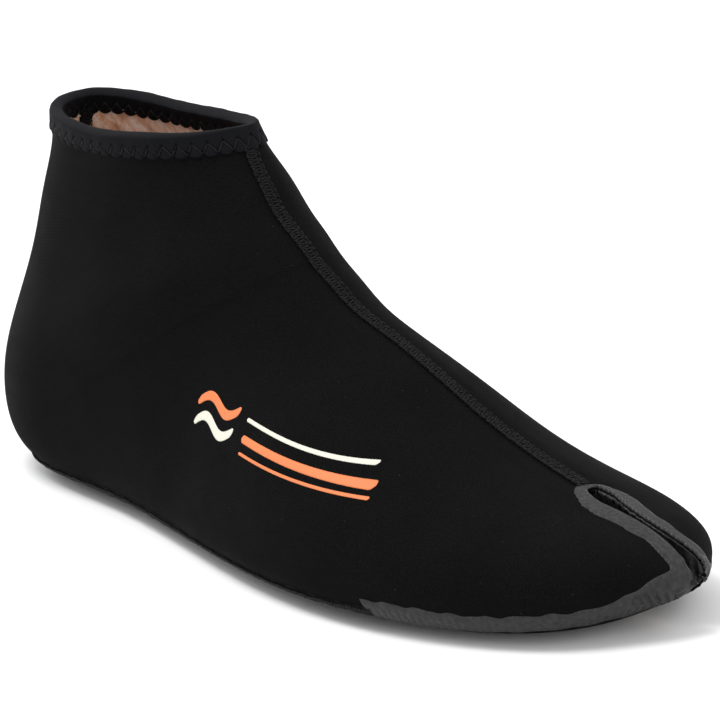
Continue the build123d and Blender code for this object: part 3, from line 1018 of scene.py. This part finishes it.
def lip(side):
    """The rolled edge of the split: smooth on the lateral side, a bump at every stitch on the medial."""
    line = resample(split_outline(side), 0.16)
    s = lengths(line, 0)
    if side > 0:
        radius, shift = 0.22 + 0.46 * np.abs(np.sin(s * math.pi / 1.6)) ** 0.6, [0, 0.6, 0.72]
    else:
        radius, shift = 0.42, [0, -0.45, 0.12]
    line = line + np.array(shift)
    line[:, 2] = np.maximum(line[:, 2], 0.8)
    ends = np.clip(np.minimum(s, s[-1] - s) / 1.5, 0.15, 1)
    return tube(line, radius * ends, 8)


for name, pieces in seal_meshes().items():
    lay(name.replace("_seal", "_rubber"), joined(pieces), "liquid_rubber", name, SEAL)
# the lips get the lighter rubber, whose paler tone is a painted highlight
lay("split_lips", joined([lip(side) for _, side in SIDES]), "liquid_rubber", "toe_split_seal", LIP_WITH_PAINTED_HIGHLIGHT)

# ---- prints ----------------------------------------------
INK = 0.12                               # its thickness
INKS = {"orange": ORANGE, "white": WHITE}
# name, ink, half the stroke's height, and the stroke's points (x, z)
PRINTS = [
    ("wave_orange", "orange", 1.3,
     [(114.5, 45.5), (119, 48), (124.5, 46.5), (130, 45), (135.5, 47.5)]),
    ("wave_white", "white", 1.3,
     [(114.5, 40), (119, 42.5), (124.5, 41), (130, 39.5), (135.5, 42)]),
    ("stripe_upper", "white", 0.5,
     [(140, 46.2), (164, 44.4), (188, 42.2)]),
    ("stripe_middle", "orange", 1.0,
     [(141, 41.6), (167, 40.0), (192, 37.8)]),
    ("stripe_lower", "orange", 0.4,
     [(142, 38.0), (168, 36.8), (193, 35.2)]),
]


def print_ribbon(line, half_height):
    """A stroke with round ends, laid on the lateral panel."""
    curve = Spline([p[0] for p in line], [p[1] for p in line])
    x = np.linspace(line[0][0], line[-1][0], 150)
    end = np.minimum(x - x[0], x[-1] - x)
    half = half_height * np.sqrt(np.clip(1 - (1 - np.clip(end / half_height, 0, 1)) ** 2, 0.0, 1))
    rows = []
    for xi, zi, hi in zip(x, curve(x), half):
        row = []
        for ti in np.linspace(-1, 1, 9):
            start = Vector(to_part([xi, -200.0, zi + ti * hi]))
            place, normal, _, _ = lateral_tree.ray_cast(start, Vector((0, 1, 0)))
            edge = 0.10 * (1 - abs(ti) ** 6) + 0.02
            row.append(from_part(np.array(place) + np.array(normal) * edge * MM))
        rows.append(row)
    return np.array(rows)


for name, ink, half_height, line in PRINTS:
    mark = make_grid(f"print_{name}", print_ribbon(line, half_height), INKS[ink], flip=True)
    dress(thicken(mark, INK), f"print_{ink}", f"printed_{name}")

# ---- floor, light and camera -----------------------------


def studio():
    """A pale floor and soft light from above, behind and both sides."""
    size = 3.0
    mesh = bpy.data.meshes.new("floor")
    mesh.from_pydata([(-size, -size, 0), (size, -size, 0), (size, size, 0), (-size, size, 0)], [],
                     [(0, 1, 2, 3)])
    mesh.materials.append(Nodes("pale_floor").finish((0.86, 0.86, 0.86, 1), 0.9))
    floor = bpy.data.objects.new("floor", mesh)
    bpy.context.scene.collection.objects.link(floor)
    world = bpy.data.worlds.new("studio")
    world.use_nodes = True
    sky = world.node_tree.nodes["Background"]
    sky.inputs["Color"].default_value = (1, 1, 1, 1)
    sky.inputs["Strength"].default_value = 0.9
    bpy.context.scene.world = world
    for name, place, size, power in (
        ("key", (-0.55, -0.75, 1.1), 0.9, 4.0),
        ("top", (-0.05, -0.35, 0.9), 0.35, 5.0),
        ("back", (-1.2, 0.1, 0.7), 0.8, 4.0),
        ("front", (1.1, -0.3, 0.7), 0.8, 3.0),
        ("inner", (0.3, 1.2, 0.8), 0.8, 3.0),
    ):
        light = bpy.data.lights.new(name, "AREA")
        light.size, light.energy = size, power
        lamp = bpy.data.objects.new(name, light)
        lamp.location = place
        lamp.rotation_euler = (Vector((0, 0, 0.05)) - Vector(place)).to_track_quat("-Z", "Y").to_euler()
        bpy.context.scene.collection.objects.link(lamp)


def camera():
    """From the outer front, a little above, tilted slightly, with a long lens."""
    azimuth, elevation, roll = (math.radians(a) for a in (49.6, 17.6, -2.93))
    target, distance = to_part([135.0, 0.0, 50.0]), 1.0465
    aside, above = 0.0087, 0.00393           # the lens looks past the target by this much
    back = np.array([math.sin(azimuth) * math.cos(elevation), -math.cos(azimuth) * math.cos(elevation),
                     math.sin(elevation)])
    right = np.array([math.cos(azimuth), math.sin(azimuth), 0.0])
    up = np.cross(back, right)
    right, up = (right * math.cos(roll) + up * math.sin(roll),
                 up * math.cos(roll) - right * math.sin(roll))
    place = target + back * distance
    ahead = target + right * aside + up * above - place
    ahead /= np.linalg.norm(ahead)
    across = np.cross(ahead, up)
    across /= np.linalg.norm(across)
    turned = Matrix((across, np.cross(across, ahead), -ahead)).transposed().to_4x4()
    data = bpy.data.cameras.new("camera")
    data.lens, data.sensor_width = 179.8, 36.0
    data.clip_start, data.clip_end = 0.05, 20.0
    eye = bpy.data.objects.new("camera", data)
    eye.matrix_world = Matrix.Translation(Vector(place)) @ turned
    bpy.context.scene.collection.objects.link(eye)
    bpy.context.scene.camera = eye


studio()
camera()
bpy.context.scene.view_settings.view_transform = "Standard"

bpy.context.view_layer.update()
